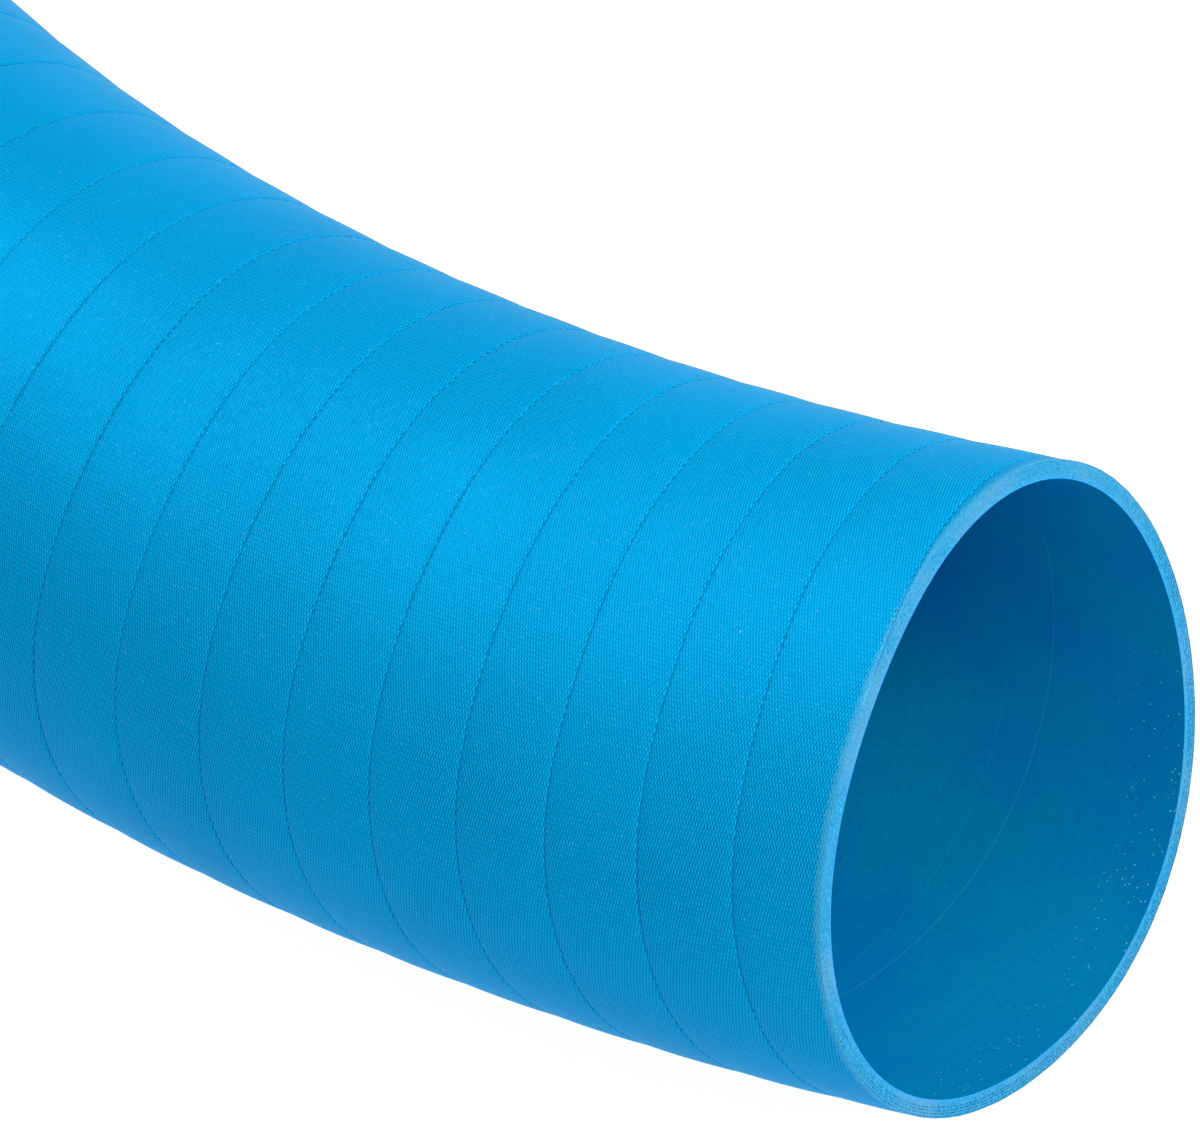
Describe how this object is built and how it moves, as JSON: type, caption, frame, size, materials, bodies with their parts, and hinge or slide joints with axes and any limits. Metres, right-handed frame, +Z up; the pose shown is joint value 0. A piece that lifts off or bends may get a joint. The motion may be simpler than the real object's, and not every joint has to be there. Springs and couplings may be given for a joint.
{
  "type": "detectable rubber hose",
  "caption": "Cut length of large-bore, soft-wall blue rubber hose with a tape-wrapped cover, lying in a gentle bend with both square-cut ends open.",
  "frame": {"origin": "on the floor below the middle of the hose's box", "axes": "+Z up from the floor, +X along the chord of the bend towards the near end, both ends turn towards +Y"},
  "size_m": [1.0424, 0.2772, 0.1556],
  "materials": {
    "blue_rubber": "semi-matt, cloth-marked"
  },
  "bodies": {
    "root": {"hose": "blue_rubber"}
  },
  "joints": []
}
